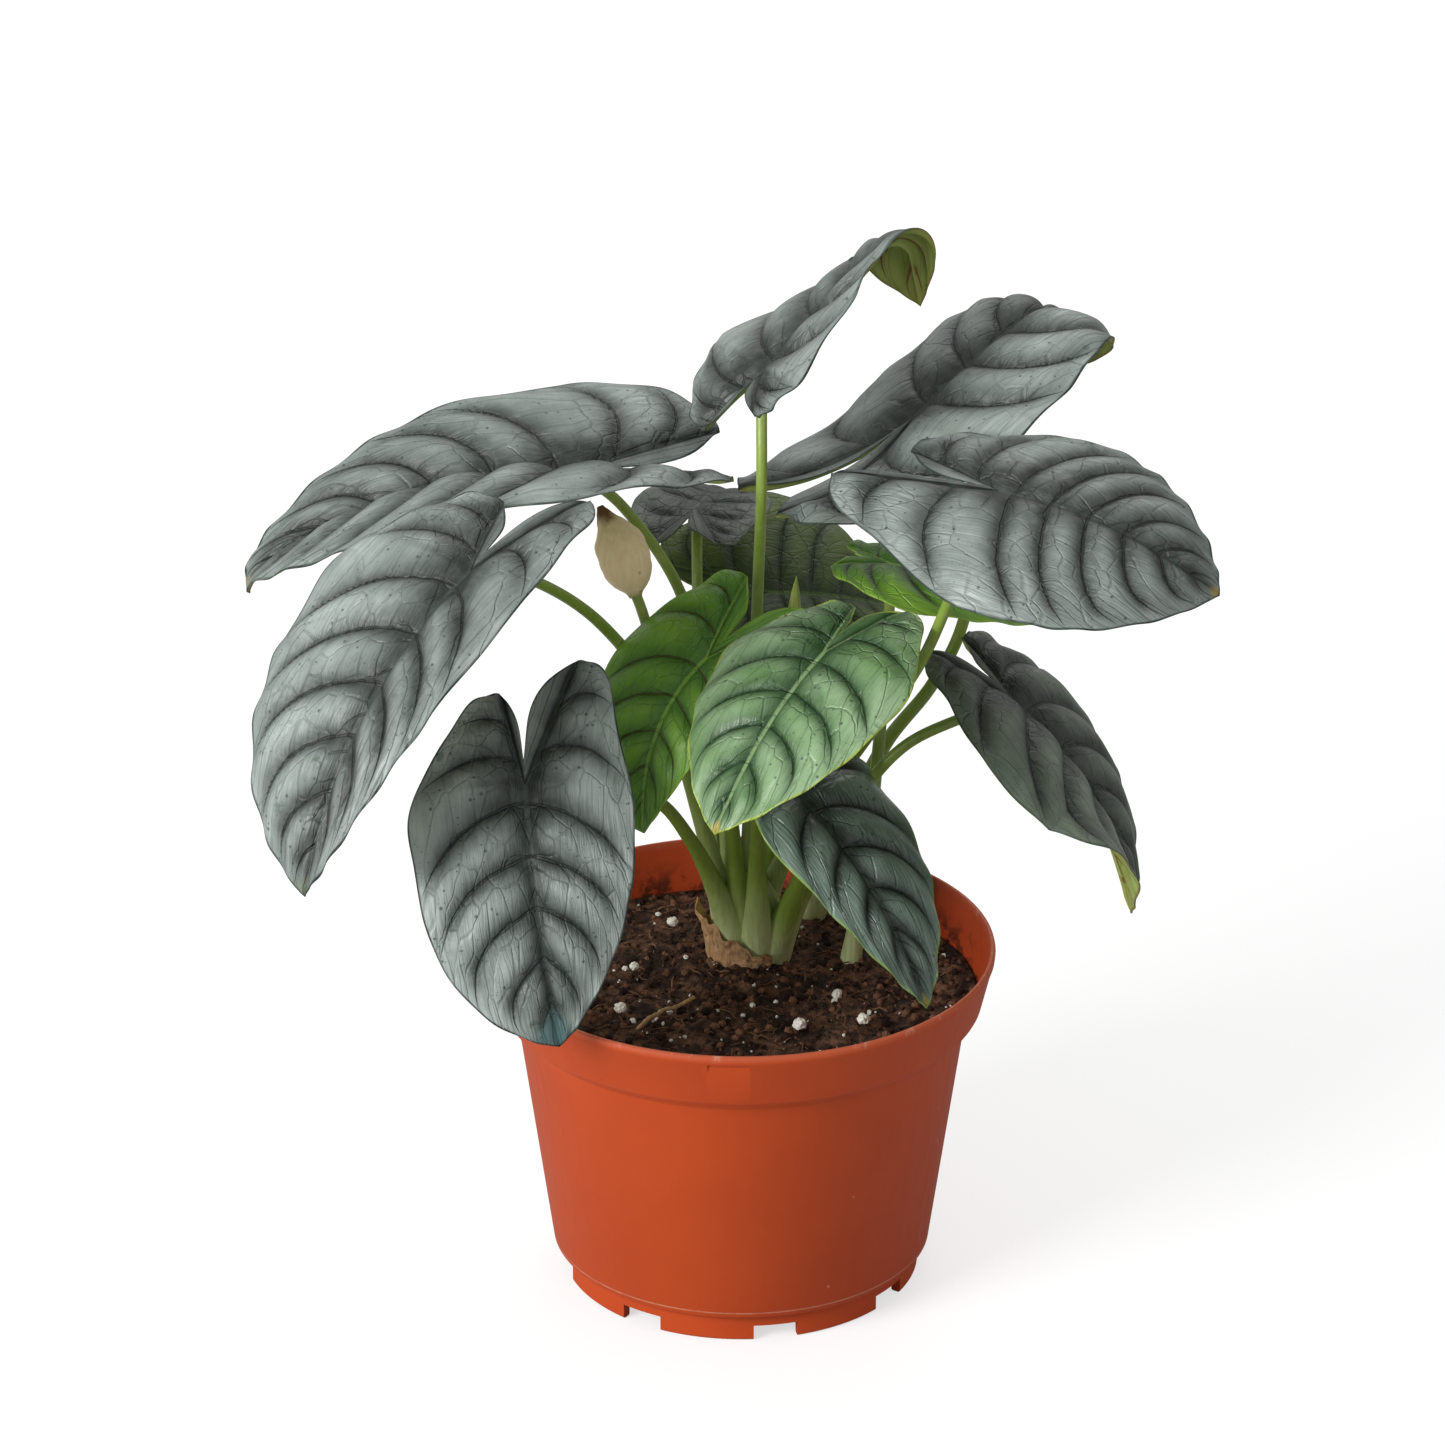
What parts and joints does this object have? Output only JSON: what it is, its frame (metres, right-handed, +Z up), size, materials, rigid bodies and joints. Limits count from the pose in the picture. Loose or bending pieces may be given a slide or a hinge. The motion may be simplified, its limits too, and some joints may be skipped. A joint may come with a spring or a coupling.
{
  "type": "potted plant",
  "caption": "Silver-leaved jewel alocasia with drooping heart-shaped leaves on slender stalks, growing in a round plastic nursery pot full of dark potting soil.",
  "frame": {"origin": "middle of the pot's underside, on the plane it stands on", "axes": "+Z up along the pot's axis; -Y is the front of the plant; +X is to the right seen from the front"},
  "size_m": [0.2979, 0.2106, 0.338],
  "materials": {
    "leaf_silver": "satin silver-grey leaf, green underside",
    "leaf_pale": "glossy pale green leaf with darker veins",
    "leaf_bright": "glossy bright green young leaf",
    "leaf_dark": "glossy dark green leaf",
    "leaf_dull": "dull olive green leaf",
    "stalk_green": "smooth yellow-green stalk",
    "crown_green": "pale green clasped stalk bases",
    "spathe_cream": "dry cream flower sheath",
    "dry_brown": "dry brown plant fibre",
    "perlite_white": "white porous grain",
    "pot_terracotta": "moulded terracotta-coloured plastic, satin",
    "soil_dark": "moist dark peat and bark"
  },
  "bodies": {
    "root": {"leaf_top": "leaf_silver", "leaf_upper_right": "leaf_silver", "leaf_right": "leaf_silver", "leaf_upper_left": "leaf_silver", "leaf_lower_left": "leaf_silver", "leaf_front_left": "leaf_silver", "leaf_front_centre": "leaf_pale", "leaf_bright": "leaf_bright", "leaf_front_right": "leaf_dark", "leaf_lower_right": "leaf_dark", "leaf_back": "leaf_dull", "leaf_back_small": "leaf_silver", "leaf_young": "leaf_bright", "stalk_front_left": "stalk_green", "stalk_lower_left": "stalk_green", "stalk_upper_left": "stalk_green", "stalk_top": "stalk_green", "stalk_front_centre": "stalk_green", "stalk_bright": "stalk_green", "stalk_front_right": "stalk_green", "stalk_lower_right": "stalk_green", "stalk_right": "stalk_green", "stalk_back": "stalk_green", "stalk_back_small": "stalk_green", "stalk_upper_right": "stalk_green", "stalk_young": "stalk_green", "stalk_new_leaf": "stalk_green", "flower_stalk": "stalk_green", "old_spathe": "spathe_cream", "new_leaf_spike": "leaf_pale", "dry_sheath": "dry_brown", "perlite_1": "perlite_white", "perlite_2": "perlite_white", "perlite_3": "perlite_white", "perlite_4": "perlite_white", "perlite_5": "perlite_white", "perlite_6": "perlite_white", "twig": "dry_brown", "pot": "pot_terracotta", "potting_soil": "soil_dark", "crown": "crown_green"}
  },
  "joints": []
}
